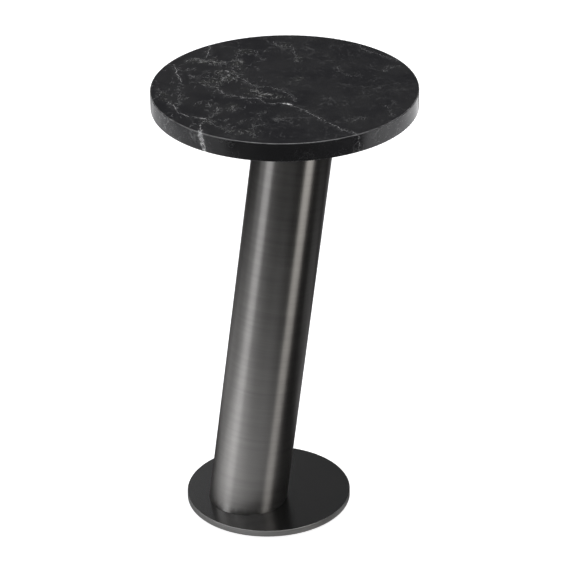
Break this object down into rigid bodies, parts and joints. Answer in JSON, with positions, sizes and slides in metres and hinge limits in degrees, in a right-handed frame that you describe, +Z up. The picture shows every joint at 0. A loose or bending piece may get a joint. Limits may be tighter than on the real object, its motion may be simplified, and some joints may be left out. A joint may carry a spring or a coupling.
{
  "type": "round pedestal table",
  "caption": "Small round side table: polished black marble disc on a leaning round steel column and a thin round steel base with levelling glides.",
  "frame": {"origin": "on the floor, directly under the centre of the round top", "axes": "+Z up; +X the way the column leans from its foot to its head; +Y to the left seen from behind the foot looking along +X"},
  "size_m": [0.3556, 0.3556, 0.62],
  "materials": {
    "black_marble": "polished",
    "gunmetal_column": "satin",
    "dark_base_steel": "satin",
    "black_flange": "satin",
    "plain_steel": "satin",
    "zinc_screws": "satin",
    "black_screws": "satin",
    "brass_inserts": "satin",
    "black_rubber": "matte",
    "black_nylon": "matte"
  },
  "bodies": {
    "table": {"marble_top": "black_marble", "stone_inserts": "brass_inserts", "top_gasket": "black_rubber", "head_flange": "black_flange", "top_washers": "zinc_screws", "top_lock_washers": "zinc_screws", "top_screws": "zinc_screws", "column_tube": "gunmetal_column", "foot_plate": "plain_steel", "weld_nuts": "plain_steel", "ballast_slug": "plain_steel", "ballast_screw": "black_screws", "base_plate": "dark_base_steel", "base_screws": "black_screws"},
    "glide_front": {"glide_pad_front": "black_nylon", "glide_stud_front": "zinc_screws"},
    "glide_left": {"glide_pad_left": "black_nylon", "glide_stud_left": "zinc_screws"},
    "glide_back": {"glide_pad_back": "black_nylon", "glide_stud_back": "zinc_screws"},
    "glide_right": {"glide_pad_right": "black_nylon", "glide_stud_right": "zinc_screws"}
  },
  "joints": [
    {"name": "glide_front_screw", "type": "slide", "parent": "table", "child": "glide_front", "axis": [0, 0, -1], "range_m": [0, 0.003]},
    {"name": "glide_left_screw", "type": "slide", "parent": "table", "child": "glide_left", "axis": [0, 0, -1], "range_m": [0, 0.003]},
    {"name": "glide_back_screw", "type": "slide", "parent": "table", "child": "glide_back", "axis": [0, 0, -1], "range_m": [0, 0.003]},
    {"name": "glide_right_screw", "type": "slide", "parent": "table", "child": "glide_right", "axis": [0, 0, -1], "range_m": [0, 0.003]}
  ]
}
